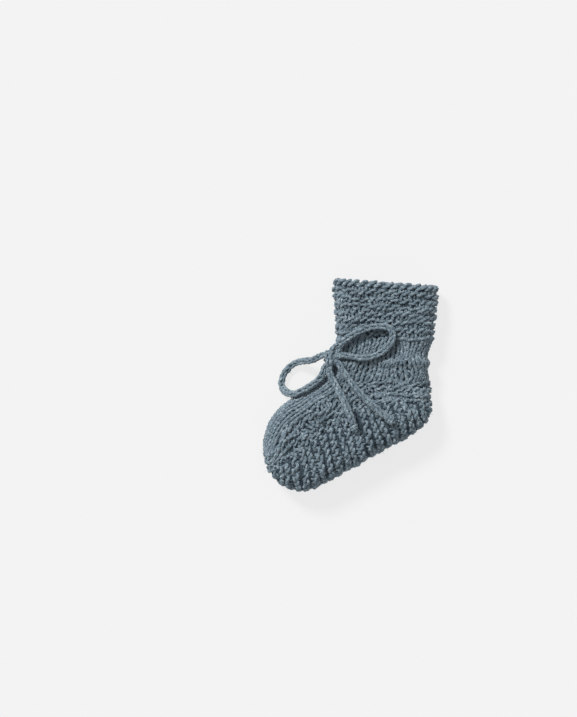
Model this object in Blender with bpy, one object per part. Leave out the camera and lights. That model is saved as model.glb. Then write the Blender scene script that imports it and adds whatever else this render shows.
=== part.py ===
"""A hand-knitted baby bootie lying on its side, as an assembly of its knitted sections and its tie.

The bootie rests on the plane z = 0 with the toe towards -X, the heel towards +X and the leg along +Y.
In plan it is one closed outline, the fold line. A near layer bulges up from that line and a far layer
goes down to the plane, so the fabric is a flattened pouch that is open at the cuff's top edge.
Lengths in this file are in millimetres and become metres where a mesh or a curve is made.
"""

import math

import bmesh
import bpy
import numpy as np
from mathutils import Vector

MM = 0.001

# Thickness of the two fabrics, and of the chunky cast-off edge.
GARTER = 3.8
STOCKINETTE = 3.0
CAST_OFF_EDGE = 4.4

# The bootie's thickness off the plane, at the leg and at the foot, and where one turns into the other.
LEG_THICKNESS = 20.0
FOOT_THICKNESS = 26.0
ANKLE_LEVEL = 9.6
FOOT_LEVEL = -16.4

# The fold line's height and the plan width of the rounded edge, as shares of the thickness there.
FOLD_SHARE = 0.45
EDGE_SHARE = 0.5

# The fold line in plan, from the front of the cuff round the toe and the heel to the back of the cuff.
# It runs on past the open mouth at both ends.
OUTLINE = [
    (-16.9, 91.6), (-14.1, 62.0), (-12.0, 44.6), (-10.0, 27.6), (-10.8, 19.1), (-14.4, 7.1), (-25.4, -2.9),
    (-37.4, -11.4), (-44.9, -21.4), (-48.0, -32.9), (-46.8, -44.4), (-41.7, -53.6), (-33.6, -59.8),
    (-24.4, -62.0), (-15.4, -59.2), (-6.4, -53.6), (7.9, -44.4), (19.5, -36.4), (31.8, -28.8),
    (42.2, -21.2), (47.0, -13.4), (48.0, -5.6), (47.0, 2.6), (44.9, 13.6), (44.2, 22.6), (46.2, 30.6),
    (47.0, 44.6), (47.4, 62.0), (48.8, 91.6),
]

# Where the sections meet, in plan, from the toe or the front towards the heel or the back.
MOUTH_LINE = [(-14.1, 62.0), (47.4, 62.0)]
EDGE_LINE = [(-13.7, 58.2), (47.3, 58.2)]
CUFF_LINE = [(-10.1, 28.8), (16.6, 29.4), (46.0, 29.8)]
ANKLE_FRONT_LINE = [(-14.0, 8.2), (-8.9, 4.0), (-2.9, 2.6)]
ANKLE_BACK_LINE = [(-2.9, 2.6), (8.6, 5.0), (26.6, 7.0), (46.0, 7.8)]
INSTEP_LINE = [(-47.0, -43.8), (-43.0, -40.4), (-40.0, -34.4), (-34.8, -24.0), (-26.1, -15.0), (-13.9, -6.0),
               (-2.9, 2.6)]
SOLE_LINE = [(-42.8, -52.0), (-37.4, -47.4), (-30.9, -41.4), (-21.9, -34.0), (-12.6, -25.8), (-2.2, -16.8),
             (12.6, -9.0), (29.6, -6.2), (47.9, -7.0)]

# The gap between touching sections, and how short of its pointed ends a folded section stops.
GAP = 0.5
INSTEP_SPAN = (0.03, 1.0)
SOLE_SPAN = (0.015, 0.985)

# The hinge that stands for the ankle's bend.
ANKLE_PIVOT = (8.6, 17.6)

# Seams inside: their radius, their clearance from the fabric, and where each open one runs.
SEAM_RADIUS = 0.9
SEAM_CLEARANCE = 0.6
INSTEP_SEAM_SPAN = (0.16, 0.94)
BACK_SEAMS = [
    ("cuff_back_seam", (47.3, 56.0), (46.1, 31.0), 8),
    ("ankle_back_seam", (45.9, 28.6), (44.3, 21.4), 4),
    ("heel_back_seam", (44.7, 14.0), (47.9, -4.0), 6),
]

# The tie: a knitted cord threaded round the ankle, in and out at the front slit, and knotted in a bow.
TIE_RADIUS = 2.1
TIE_GAP = 0.3
TIE_THREADED_RADIUS = 1.8
TIE_LEVEL_SHARE = 0.55
TIE_IN = [(-14.4, 19.6, 16.0), (-15.0, 19.4, 12.4), (-13.6, 19.1, 9.8), (-10.0, 18.9, 9.2), (-6.0, 18.2, 10.0),
          (-2.6, 16.8, 12.2)]
TIE_OUT = [(-2.8, 13.8, 6.6), (-6.2, 14.0, 8.4), (-10.0, 14.2, 9.2), (-13.8, 14.4, 9.8), (-15.3, 14.9, 12.4),
           (-14.7, 15.8, 15.9)]
KNOT_CENTRE = (-12.8, 15.2, 20.6)
KNOT_SIZE = (10.8, 6.4, 7.0)
KNOT_DIRECTION = (-0.02, 1.0, 0.0)
END_SIZE = (5.6, 4.8, 4.6)
LOOP_FRONT = [(-17.2, 18.0, 19.4), (-20.2, 16.0, 16.6), (-24.0, 14.1, 11.4), (-27.8, 13.5, 6.6), (-31.6, 12.5, 3.4),
              (-34.9, 10.2, 2.2), (-37.6, 7.0, 2.2), (-39.3, 3.0, 2.2), (-39.6, -0.6, 2.6), (-38.4, -3.8, 4.8),
              (-35.6, -5.6, 9.8), (-32.0, -5.6, 16.2), (-27.8, -3.6, 18.8), (-23.6, -0.8, 18.8),
              (-19.8, 2.2, 18.4), (-17.2, 5.2, 17.8), (-16.0, 8.2, 17.2), (-15.8, 10.8, 17.2)]
LOOP_BACK = [(-11.2, 22.2, 21.6), (-6.8, 25.8, 22.7), (0.0, 31.2, 22.8), (7.6, 35.0, 22.7), (14.2, 36.5, 22.7),
             (19.4, 35.9, 22.7), (22.2, 32.6, 22.7), (21.4, 28.0, 22.7), (18.0, 23.2, 22.7), (12.6, 19.5, 22.7),
             (6.6, 17.8, 22.7), (0.2, 17.9, 22.7), (-7.0, 18.7, 22.4)]
TAIL_LEFT = [(-12.9, 8.8, 21.6), (-11.4, 5.4, 22.2), (-8.6, 1.0, 24.3), (-5.0, -4.6, 26.6), (-1.4, -11.0, 28.3),
             (1.2, -16.6, 28.7), (2.6, -20.2, 28.7)]
TAIL_RIGHT = [(-8.0, 14.2, 21.8), (-4.6, 9.0, 22.9), (0.6, 2.6, 24.0), (6.2, -3.4, 25.9), (12.4, -8.6, 27.5),
              (18.2, -12.8, 28.5), (22.0, -15.6, 28.7)]

# Yarn colours, linear, and the yarn's roughness.
SLATE = (0.120, 0.158, 0.186)
SLATE_DEEP = (0.090, 0.120, 0.145)
YARN_ROUGHNESS = 0.95
SHARP_ANGLE = math.radians(40)

# Mesh density: rows down and columns round each section, and points along each cord.
LEG_COLUMNS = 40
CUFF_ROWS = 6
ANKLE_ROWS = 6
SLIT_ROWS = (2, 3, 4)
FOOT_COLUMNS = 64
FOOT_ROWS = 4
INSTEP_ROWS = 18
INSTEP_COLUMNS = 10
SOLE_ROWS = 26
SOLE_COLUMNS = 14
SOLE_SEAM_POINTS = 56
INSTEP_SEAM_POINTS = 16
TIE_RING_POINTS = 48
TIE_FRONT_SKIP = 6
TIE_POINTS = 56
LOOP_POINTS = 36
TAIL_POINTS = 16

# How finely curves are read before they are spaced out evenly.
CURVE_STEPS = 24
EDGE_STEPS = 241
FOLD_STEPS = 600
RING_STEPS = 121
FLAP_STEPS = 61
ROW_STEPS = 4
SLOPE_STEP = 0.05


def clear_scene():
    for old in list(bpy.data.objects):
        bpy.data.objects.remove(old, do_unlink=True)


def resample(line, shares, trim=0.0):
    """Points at the given shares of a line's length, after trim has been taken off each end."""
    steps = np.linalg.norm(np.diff(line, axis=0), axis=1)
    along = np.concatenate([[0.0], np.cumsum(steps)])
    places = trim + np.asarray(shares) * (along[-1] - 2.0 * trim)
    return np.stack([np.interp(places, along, line[:, k]) for k in range(line.shape[1])], axis=1)


def mix(a, b, low, high, t):
    """From a at t = low to b at t = high."""
    share = (t - low) / (high - low)
    return a * (1.0 - share) + b * share


def smooth_curve(points, count):
    """Points evenly spaced along one smooth curve through the given points (centripetal Catmull-Rom)."""
    p = np.array(points, float)
    shares = np.linspace(0.0, 1.0, count)
    if len(p) == 2:
        return resample(p, shares)
    ends = np.vstack([2.0 * p[0] - p[1], p, 2.0 * p[-1] - p[-2]])
    fine = []
    for a, b, c, d in zip(ends, ends[1:], ends[2:], ends[3:]):
        k = np.cumsum([0.0] + [math.sqrt(np.linalg.norm(v - u)) for u, v in ((a, b), (b, c), (c, d))])
        t = np.linspace(k[1], k[2], CURVE_STEPS, endpoint=False)[:, None]
        early = mix(mix(a, b, k[0], k[1], t), mix(b, c, k[1], k[2], t), k[0], k[2], t)
        late = mix(mix(b, c, k[1], k[2], t), mix(c, d, k[2], k[3], t), k[1], k[3], t)
        fine.append(mix(early, late, k[1], k[2], t))
    return resample(np.vstack(fine + [p[-1:]]), shares)


def edge(*curves):
    """Plan curves joined end to end, as a function of the share of their whole length."""
    fine = np.vstack([smooth_curve(points, EDGE_STEPS) for points in curves])
    return lambda t: resample(fine, t)


def still(point):
    """An edge that has shrunk to one plan point."""
    return lambda t: np.repeat([point], len(t), axis=0)


FOLD = smooth_curve(OUTLINE, FOLD_STEPS)


def fold_between(start, end):
    """The stretch of the fold line between two plan points, as a function of the share of its length."""
    first = int(np.argmin(np.linalg.norm(FOLD - np.array(start), axis=1)))
    last = int(np.argmin(np.linalg.norm(FOLD - np.array(end), axis=1)))
    step = 1 if last > first else -1
    stretch = np.vstack([[start], FOLD[first:last:step][1:], [end]])
    return lambda t: resample(stretch, t)


def inside(plan):
    """True for each plan point that lies within the fold line."""
    a = FOLD
    b = np.roll(FOLD, -1, axis=0)
    x = plan[:, None, 0]
    y = plan[:, None, 1]
    rises = (a[:, 1] > y) != (b[:, 1] > y)
    with np.errstate(divide="ignore", invalid="ignore"):
        crossing = a[:, 0] + (y - a[:, 1]) * (b[:, 0] - a[:, 0]) / (b[:, 1] - a[:, 1])
    return (rises & (x < crossing)).sum(axis=1) % 2 == 1


def depth(plan):
    """How far each plan point lies inside the fold line, not counting the open mouth."""
    a = FOLD[:-1]
    run = np.diff(FOLD, axis=0)
    share = ((plan[:, None, :] - a) * run).sum(axis=2) / (run * run).sum(axis=1)
    nearest = a + np.clip(share, 0.0, 1.0)[:, :, None] * run
    reach = np.linalg.norm(plan[:, None, :] - nearest, axis=2).min(axis=1)
    return np.where(inside(plan), reach, -reach)


def thickness(plan):
    """The bootie's thickness over plan points, which grows smoothly from the leg to the foot."""
    share = np.clip((ANKLE_LEVEL - plan[:, 1]) / (ANKLE_LEVEL - FOOT_LEVEL), 0.0, 1.0)
    return LEG_THICKNESS + (FOOT_THICKNESS - LEG_THICKNESS) * share * share * (3.0 - 2.0 * share)


def surface(plan, side):
    """The outer surface over plan points, with side 1 for the near layer and -1 for the far layer."""
    full = thickness(plan)
    fold = FOLD_SHARE * full
    rise = full - fold if side > 0 else fold
    out = np.clip(1.0 - depth(plan) / (EDGE_SHARE * full), 0.0, 1.0)
    return np.column_stack([plan, fold + side * rise * np.sqrt(1.0 - out * out)])


def fullness(points):
    """A field that is 1 on the outer surface and smaller inside it."""
    full = thickness(points[:, :2])
    above = points[:, 2] - FOLD_SHARE * full
    rise = np.where(above > 0, 1.0 - FOLD_SHARE, FOLD_SHARE) * full
    out = np.maximum(1.0 - depth(points[:, :2]) / (EDGE_SHARE * full), 0.0)
    return out * out + (above / rise) ** 2


def inward(points):
    """Unit vectors from surface points into the fabric."""
    flat = points.reshape(-1, 3)
    steps = SLOPE_STEP * np.eye(3)
    slope = np.column_stack([fullness(flat + step) - fullness(flat - step) for step in steps])
    return (-slope / np.linalg.norm(slope, axis=1)[:, None]).reshape(points.shape)


def patch(top_edge, low_edge, start_edge, end_edge):
    """Plan points inside four edge curves: across(t, f), with t along the long edges and f between them."""

    def across(t, f):
        t = np.atleast_1d(t)
        u = t[:, None]
        long_way = (1.0 - f) * top_edge(t) + f * low_edge(t)
        short_way = (1.0 - u) * start_edge([f]) + u * end_edge([f])
        top_chord = (1.0 - u) * top_edge([0.0]) + u * top_edge([1.0])
        low_chord = (1.0 - u) * low_edge([0.0]) + u * low_edge([1.0])
        return long_way + short_way - (1.0 - f) * top_chord - f * low_chord

    return across


def tube_between(top_lines, low_lines):
    """The plan of a tube section between two edges that cross the pouch from fold to fold."""
    return patch(edge(*top_lines), edge(*low_lines), fold_between(top_lines[0][0], low_lines[0][0]),
                 fold_between(top_lines[-1][-1], low_lines[-1][-1]))


def flap_between(inner_line, fold_end, end_edge):
    """The plan of a section from its inner edge out to the fold line, which meets that edge at its start."""
    return patch(edge(inner_line), fold_between(inner_line[0], fold_end), still(inner_line[0]), end_edge)


def ring(across, f, columns):
    """Points right round both layers of a tube section, from its front fold and back to it."""
    t = (1.0 - np.cos(np.linspace(0.0, math.pi, RING_STEPS))) / 2.0
    plan = across(t, f)
    half = np.arange(columns // 2) / (columns // 2)
    near = resample(surface(plan, 1), half)
    far = resample(surface(plan[::-1], -1), half)
    return np.vstack([near, far])


def settle(dense, rows):
    """The same grid with evenly spaced rows, held back from its first and last row by half the gap."""
    shares = np.linspace(0.0, 1.0, rows + 1)
    return np.stack([resample(dense[:, j], shares, GAP / 2.0) for j in range(dense.shape[1])], axis=1)


def ring_grid(across, rows, columns):
    """Rings of points down a tube section, with column 0 on the front fold."""
    shares = np.linspace(0.0, 1.0, ROW_STEPS * rows + 1)
    return settle(np.array([ring(across, f, columns) for f in shares]), rows)


def folded_grid(across, rows, columns, span):
    """Rows of points from one edge over the fold line to the other edge, for a section folded along it."""
    f = 1.0 - np.linspace(1.0, 0.0, FLAP_STEPS) ** 2
    dense = []
    for t in np.linspace(*span, ROW_STEPS * rows + 1):
        plan = np.vstack([across(t, share) for share in f])
        line = np.vstack([surface(plan, 1), surface(plan[-2::-1], -1)])
        dense.append(resample(line, np.linspace(0.0, 1.0, columns + 1), GAP / 2.0))
    return settle(np.array(dense), rows)


def finish(obj, colour):
    """Give the object its yarn material and put it in the scene."""
    material = bpy.data.materials.new(obj.name)
    material.use_nodes = True
    shader = material.node_tree.nodes["Principled BSDF"]
    shader.inputs["Base Color"].default_value = (*colour, 1.0)
    shader.inputs["Roughness"].default_value = YARN_ROUGHNESS
    shader.inputs["Metallic"].default_value = 0.0
    obj.data.materials.append(material)
    bpy.context.scene.collection.objects.link(obj)


def fabric(name, grid, wall, closed, holes=(), pivot=(0.0, 0.0)):
    """A fabric section: the grid's outer face, an inner face one wall deeper, and the edges between them."""
    rows, columns = grid.shape[:2]
    inner = grid + wall * inward(grid)
    vertices = np.vstack([grid.reshape(-1, 3), inner.reshape(-1, 3)])
    below = rows * columns
    spans = columns if closed else columns - 1
    faces = []
    rims = set()
    for i in range(rows - 1):
        for j in range(spans):
            if (i, j) in holes:
                continue
            k = (j + 1) % columns
            loop = [i * columns + j, i * columns + k, (i + 1) * columns + k, (i + 1) * columns + j]
            faces.append(loop)
            faces.append([v + below for v in reversed(loop)])
            for side in zip(loop, loop[1:] + loop[:1]):
                if side[::-1] in rims:
                    rims.remove(side[::-1])
                else:
                    rims.add(side)
    faces += [[b, a, a + below, b + below] for a, b in sorted(rims)]

    mesh = bpy.data.meshes.new(name)
    start = np.array([*pivot, 0.0])
    mesh.from_pydata([tuple(v) for v in (vertices - start) * MM], [], faces)
    shape = bmesh.new()
    shape.from_mesh(mesh)
    bmesh.ops.delete(shape, geom=[v for v in shape.verts if not v.link_faces], context="VERTS")
    bmesh.ops.recalc_face_normals(shape, faces=shape.faces)
    shape.to_mesh(mesh)
    shape.free()
    mesh.shade_smooth()
    mesh.set_sharp_from_angle(angle=SHARP_ANGLE)
    obj = bpy.data.objects.new(name, mesh)
    obj.location = start * MM
    finish(obj, SLATE)


def tube(name, path, radius, closed=False, colour=SLATE):
    """A cord along a path, as a poly curve with a round bevel and filled caps."""
    curve = bpy.data.curves.new(name, "CURVE")
    curve.dimensions = "3D"
    curve.resolution_u = 1
    curve.bevel_depth = radius * MM
    curve.bevel_resolution = 2
    curve.use_fill_caps = True
    spline = curve.splines.new("POLY")
    spline.points.add(len(path) - 1)
    for point, place in zip(spline.points, path):
        point.co = (*(place * MM), 1.0)
    spline.use_cyclic_u = closed
    finish(bpy.data.objects.new(name, curve), colour)


def lump(name, centre, size, direction):
    """A rounded knot or cord end, with its first axis along the direction."""
    mesh = bpy.data.meshes.new(name)
    shape = bmesh.new()
    bmesh.ops.create_uvsphere(shape, u_segments=14, v_segments=9, radius=0.5)
    bmesh.ops.scale(shape, vec=Vector(size) * MM, verts=shape.verts)
    turn = Vector(direction).to_track_quat("X", "Z").to_matrix().to_4x4()
    bmesh.ops.transform(shape, matrix=turn, verts=shape.verts)
    shape.to_mesh(mesh)
    shape.free()
    mesh.shade_smooth()
    obj = bpy.data.objects.new(name, mesh)
    obj.location = Vector(centre) * MM
    finish(obj, SLATE)


CUFF_EDGE_PLAN = tube_between([MOUTH_LINE], [EDGE_LINE])
CUFF_PLAN = tube_between([EDGE_LINE], [CUFF_LINE])
ANKLE_PLAN = tube_between([CUFF_LINE], [ANKLE_FRONT_LINE, ANKLE_BACK_LINE])
UPPER_PLAN = tube_between([INSTEP_LINE, ANKLE_BACK_LINE], [SOLE_LINE])
INSTEP_PLAN = flap_between(INSTEP_LINE, ANKLE_FRONT_LINE[0], edge(ANKLE_FRONT_LINE[::-1]))
SOLE_PLAN = flap_between(SOLE_LINE, SOLE_LINE[-1], still(SOLE_LINE[-1]))


def leg_sections():
    """Cuff edge, cuff and ankle band: tubes that stack down the leg. The band has the tie's slit in front."""
    fabric("cuff_edge", ring_grid(CUFF_EDGE_PLAN, 1, LEG_COLUMNS), CAST_OFF_EDGE, True, pivot=ANKLE_PIVOT)
    fabric("cuff", ring_grid(CUFF_PLAN, CUFF_ROWS, LEG_COLUMNS), GARTER, True, pivot=ANKLE_PIVOT)
    slit = [(i, j) for i in SLIT_ROWS for j in (0, LEG_COLUMNS - 1)]
    fabric("ankle_band", ring_grid(ANKLE_PLAN, ANKLE_ROWS, LEG_COLUMNS), STOCKINETTE, True, holes=slit)


def foot_sections():
    """The upper round the foot, the instep panel down its front, and the sole folded under it."""
    fabric("foot_upper", ring_grid(UPPER_PLAN, FOOT_ROWS, FOOT_COLUMNS), GARTER, True)
    instep = folded_grid(INSTEP_PLAN, INSTEP_ROWS, INSTEP_COLUMNS, INSTEP_SPAN)
    fabric("instep_panel", instep, STOCKINETTE, False)
    fabric("sole", folded_grid(SOLE_PLAN, SOLE_ROWS, SOLE_COLUMNS, SOLE_SPAN), GARTER, False)


def under_fabric(line, inset):
    """A line on the outer surface, moved straight into the bootie by the inset."""
    return line + inset * inward(line)


def seams():
    """The joins inside: where instep, upper and sole meet, and down the back of the leg and the heel."""
    inset = GARTER + SEAM_CLEARANCE + SEAM_RADIUS
    sole_line = under_fabric(ring(UPPER_PLAN, 1.0, SOLE_SEAM_POINTS), inset)
    tube("sole_seam", sole_line, SEAM_RADIUS, closed=True, colour=SLATE_DEEP)
    instep_line = edge(INSTEP_LINE)(np.linspace(*INSTEP_SEAM_SPAN, INSTEP_SEAM_POINTS))
    for name, side in (("instep_seam_near", 1), ("instep_seam_far", -1)):
        tube(name, under_fabric(surface(instep_line, side), inset), SEAM_RADIUS, colour=SLATE_DEEP)
    for name, top, low, points in BACK_SEAMS:
        back_line = fold_between(top, low)(np.linspace(0.0, 1.0, points))
        tube(name, under_fabric(surface(back_line, 1), inset), SEAM_RADIUS, colour=SLATE_DEEP)


def threaded_tie():
    """The tie's hidden stretch: in at the front slit, round inside the ankle, and out again to the knot."""
    inset = STOCKINETTE + TIE_GAP + TIE_THREADED_RADIUS
    inner = under_fabric(ring(ANKLE_PLAN, TIE_LEVEL_SHARE, TIE_RING_POINTS), inset)
    route = np.vstack([TIE_IN, inner[TIE_FRONT_SKIP:1 - TIE_FRONT_SKIP], TIE_OUT])
    tube("tie_band", smooth_curve(route, TIE_POINTS), TIE_THREADED_RADIUS)


def bow():
    """The bow at the front of the ankle: its knot, two loops and two tails with their cast-off ends."""
    lump("bow_knot", KNOT_CENTRE, KNOT_SIZE, KNOT_DIRECTION)
    for name, route in (("bow_loop_front", LOOP_FRONT), ("bow_loop_back", LOOP_BACK)):
        tube(name, smooth_curve(route, LOOP_POINTS), TIE_RADIUS)
    for side, route in (("left", TAIL_LEFT), ("right", TAIL_RIGHT)):
        line = smooth_curve(route, TAIL_POINTS)
        tube("tie_tail_" + side, line, TIE_RADIUS)
        ahead = line[-1] - line[-2]
        ahead /= np.linalg.norm(ahead)
        lump("tie_end_" + side, line[-1] + (END_SIZE[0] / 2.0 + TIE_GAP) * ahead, END_SIZE, ahead)


clear_scene()
leg_sections()
foot_sections()
seams()
threaded_tie()
bow()
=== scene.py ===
"""The looks of the hand-knitted baby bootie: every section is knitted stitch by stitch from a plied yarn.

The bootie lies on its side on the plane z = 0, with its toe towards -X, its heel towards +X and its leg
along +Y. Lengths in this file are in millimetres and become metres where a mesh is made or the frame is
asked, and a place in the frame is written as in the model's own file.
"""

import math

import bpy
import numpy as np
from mathutils import Matrix


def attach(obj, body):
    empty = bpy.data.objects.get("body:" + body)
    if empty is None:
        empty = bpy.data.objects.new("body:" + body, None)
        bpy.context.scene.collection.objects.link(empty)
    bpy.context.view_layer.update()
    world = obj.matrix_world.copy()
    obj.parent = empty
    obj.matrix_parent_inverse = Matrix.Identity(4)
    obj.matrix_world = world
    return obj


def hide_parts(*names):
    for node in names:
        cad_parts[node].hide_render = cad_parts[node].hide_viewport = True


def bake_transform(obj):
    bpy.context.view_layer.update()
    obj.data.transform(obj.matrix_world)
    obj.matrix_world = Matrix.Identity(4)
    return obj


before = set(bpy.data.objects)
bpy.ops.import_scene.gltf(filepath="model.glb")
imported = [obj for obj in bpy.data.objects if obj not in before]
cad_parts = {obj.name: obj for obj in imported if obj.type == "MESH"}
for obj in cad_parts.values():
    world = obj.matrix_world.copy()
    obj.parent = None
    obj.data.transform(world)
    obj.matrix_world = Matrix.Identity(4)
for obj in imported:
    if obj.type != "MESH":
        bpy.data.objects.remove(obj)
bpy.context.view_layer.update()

MM = 0.001

# The bootie's thickness off the plane, at the leg and at the foot, and where one turns into the other.
LEG_THICKNESS = 20.0
FOOT_THICKNESS = 26.0
ANKLE_LEVEL = 9.6
FOOT_LEVEL = -16.4
FOLD_SHARE = 0.45
EDGE_SHARE = 0.5

# The fold line in plan, and the lines where the sections meet, as in the model.
OUTLINE = [
    (-16.9, 91.6), (-14.1, 62.0), (-12.0, 44.6), (-10.0, 27.6), (-10.8, 19.1), (-14.4, 7.1), (-25.4, -2.9),
    (-37.4, -11.4), (-44.9, -21.4), (-48.0, -32.9), (-46.8, -44.4), (-41.7, -53.6), (-33.6, -59.8),
    (-24.4, -62.0), (-15.4, -59.2), (-6.4, -53.6), (7.9, -44.4), (19.5, -36.4), (31.8, -28.8),
    (42.2, -21.2), (47.0, -13.4), (48.0, -5.6), (47.0, 2.6), (44.9, 13.6), (44.2, 22.6), (46.2, 30.6),
    (47.0, 44.6), (47.4, 62.0), (48.8, 91.6),
]
MOUTH_LINE = [(-14.1, 62.0), (47.4, 62.0)]
EDGE_LINE = [(-13.7, 58.2), (47.3, 58.2)]
CUFF_LINE = [(-10.1, 28.8), (16.6, 29.4), (46.0, 29.8)]
ANKLE_FRONT_LINE = [(-14.0, 8.2), (-8.9, 4.0), (-2.9, 2.6)]
ANKLE_BACK_LINE = [(-2.9, 2.6), (8.6, 5.0), (26.6, 7.0), (46.0, 7.8)]
INSTEP_LINE = [(-47.0, -43.8), (-43.0, -40.4), (-40.0, -34.4), (-34.8, -24.0), (-26.1, -15.0), (-13.9, -6.0),
               (-2.9, 2.6)]
SOLE_LINE = [(-42.8, -52.0), (-37.4, -47.4), (-30.9, -41.4), (-21.9, -34.0), (-12.6, -25.8), (-2.2, -16.8),
             (12.6, -9.0), (29.6, -6.2), (47.9, -7.0)]

# The tie's routes and its knot, as in the model.
LOOP_FRONT = [
    (-17.2, 18.0, 19.4), (-20.2, 16.0, 16.6), (-24.0, 14.1, 11.4), (-27.8, 13.5, 6.6), (-31.6, 12.5, 3.4),
    (-34.9, 10.2, 2.2), (-37.6, 7.0, 2.2), (-39.3, 3.0, 2.2), (-39.6, -0.6, 2.6), (-38.4, -3.8, 4.8),
    (-35.6, -5.6, 9.8), (-32.0, -5.6, 16.2), (-27.8, -3.6, 18.8), (-23.6, -0.8, 18.8), (-19.8, 2.2, 18.4),
    (-17.2, 5.2, 17.8), (-16.0, 8.2, 17.2), (-15.8, 10.8, 17.2),
]
LOOP_BACK = [
    (-11.2, 22.2, 21.6), (-6.8, 25.8, 22.7), (0.0, 31.2, 22.8), (7.6, 35.0, 22.7), (14.2, 36.5, 22.7),
    (19.4, 35.9, 22.7), (22.2, 32.6, 22.7), (21.4, 28.0, 22.7), (18.0, 23.2, 22.7), (12.6, 19.5, 22.7),
    (6.6, 17.8, 22.7), (0.2, 17.9, 22.7), (-7.0, 18.7, 22.4),
]
TAIL_LEFT = [
    (-12.9, 8.8, 21.6), (-11.4, 5.4, 22.2), (-8.6, 1.0, 24.3), (-5.0, -4.6, 26.6), (-1.4, -11.0, 28.3),
    (1.2, -16.6, 28.7), (2.6, -20.2, 28.7),
]
TAIL_RIGHT = [
    (-8.0, 14.2, 21.8), (-4.6, 9.0, 22.9), (0.6, 2.6, 24.0), (6.2, -3.4, 25.9), (12.4, -8.6, 27.5),
    (18.2, -12.8, 28.5), (22.0, -15.6, 28.7),
]
TIE_IN = [
    (-14.4, 19.6, 16.0), (-15.0, 19.4, 12.4), (-13.6, 19.1, 9.8), (-10.0, 18.9, 9.2), (-6.0, 18.2, 10.0),
    (-2.6, 16.8, 12.2),
]
TIE_OUT = [
    (-2.8, 13.8, 6.6), (-6.2, 14.0, 8.4), (-10.0, 14.2, 9.2), (-13.8, 14.4, 9.8), (-15.3, 14.9, 12.4),
    (-14.7, 15.8, 15.9),
]
TIE_DIAMETER = 4.7
TIE_THREADED_DIAMETER = 3.6
TIE_LEVEL_SHARE = 0.55
TIE_INSET = 5.1
TIE_RING_POINTS = 48
TIE_FRONT_SKIP = 6
KNOT_CENTRE = np.array([-12.8, 15.2, 20.6])
KNOT_RUN = np.array([-0.02, 1.0, 0.0])

# The knot's wrap: its cord, its radii along and off the knot, its shift across it, and its turn from
# start to end. Then the cord of the strands that pass through it.
WRAP_DIAMETER = 4.3
WRAP_RADII = (3.1, 1.8)
WRAP_SHIFT = (-1.8, 1.0)
WRAP_TURN = (-0.4 * math.pi, 2.9 * math.pi)
WRAP_POINTS = 30
STRAND_DIAMETER = 3.8

# The nodes that ride on one body. The others cross the ankle.
LEG_NODES = ("cuff_edge", "cuff", "cuff_back_seam")
FOOT_NODES = ("instep_panel", "foot_upper", "sole", "sole_seam", "instep_seam_near", "instep_seam_far",
              "heel_back_seam")

# Where the seams inside run: the instep's share of its line, and each open seam's ends and its points.
INSTEP_SEAM_SPAN = (0.16, 0.94)
INSTEP_SEAM_POINTS = 16
SOLE_SEAM_POINTS = 56
BACK_SEAMS = [
    ("cuff_back_seam", (47.3, 56.0), (46.1, 31.0), 8),
    ("ankle_back_seam", (45.9, 28.6), (44.3, 21.4), 4),
    ("heel_back_seam", (44.7, 14.0), (47.9, -4.0), 6),
]

# The shares of its length over which a folded section is knitted: at its tip it would have no width.
INSTEP_SPAN = (0.01, 1.0)
SOLE_SPAN = (0.015, 0.985)

# How finely curves and sections are read.
CURVE_STEPS = 24
EDGE_STEPS = 241
FOLD_STEPS = 600
RING_STEPS = 121
RING_COLUMNS = 200
FLAP_STEPS = 61
FLAP_COLUMNS = 60
ROW_STEPS = 4
SLOPE_STEP = 0.05

# A stitch's width, and for each section its yarn's radius and how deep the middle of its knitting lies.
STITCH_WIDTH = 4.5
GARTER_YARN = 0.95
ANKLE_YARN = 1.12
INSTEP_YARN = 0.98
SOLE_YARN = 1.0
CUFF_DEPTH = 1.7
ANKLE_DEPTH = 1.7
INSTEP_DEPTH = 1.7
UPPER_DEPTH = 2.0
SOLE_DEPTH = 1.0
STITCH_STEPS = 15

# Garter stitch: how high its loops reach in rows, their sway and slant, the waves by which they stand in
# and out, how wide a furrow is in rows, and how much of the relief a fold takes out, over which share of
# a row.
GARTER_HEIGHT = 0.82
GARTER_SWAY = 0.17
GARTER_SLANT = 0.16
GARTER_WAVES = (0.95, 0.55)
FURROW_ROWS = 0.4
FOLD_EASE = 0.62
FOLD_EASE_SHARE = 0.08

# Stocking stitch: how high its loops reach in rows, and how far a stitch's two legs differ.
STOCKING_HEIGHT = 0.84
STOCKING_SLANT = 0.03

# How far and over how many rows the tie under the ankle band pushes it out, and how much it smooths the
# stitches there. No tie is a row level far from any row.
TIE_PUSH = 2.0
TIE_PUSH_ROWS = 0.75
TIE_SMOOTHING = 0.6
NO_TIE = -9.0

# Hand knitting's unevenness. Each wander along the yarn is its spacing in stitches and its reach: of a
# loop's height and its level in rows, of its place in stitches, of its lift in millimetres, and of the
# yarn's thickness. Slow waves over a section sway the rows, shift the stitches and lump the surface.
HEIGHT_WANDER = (1.0, 0.06)
LEVEL_WANDER = (1.7, 0.07)
PLACE_WANDER = (1.0, 0.04)
LIFT_WANDER = (1.0, 0.12)
YARN_WANDER = (0.7, 0.07)
WAVES = 8
WAVE_TURNS = (0.07, 0.24)
SWAY = 0.2
SHIFT = 0.14
LUMP = 0.16

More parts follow.
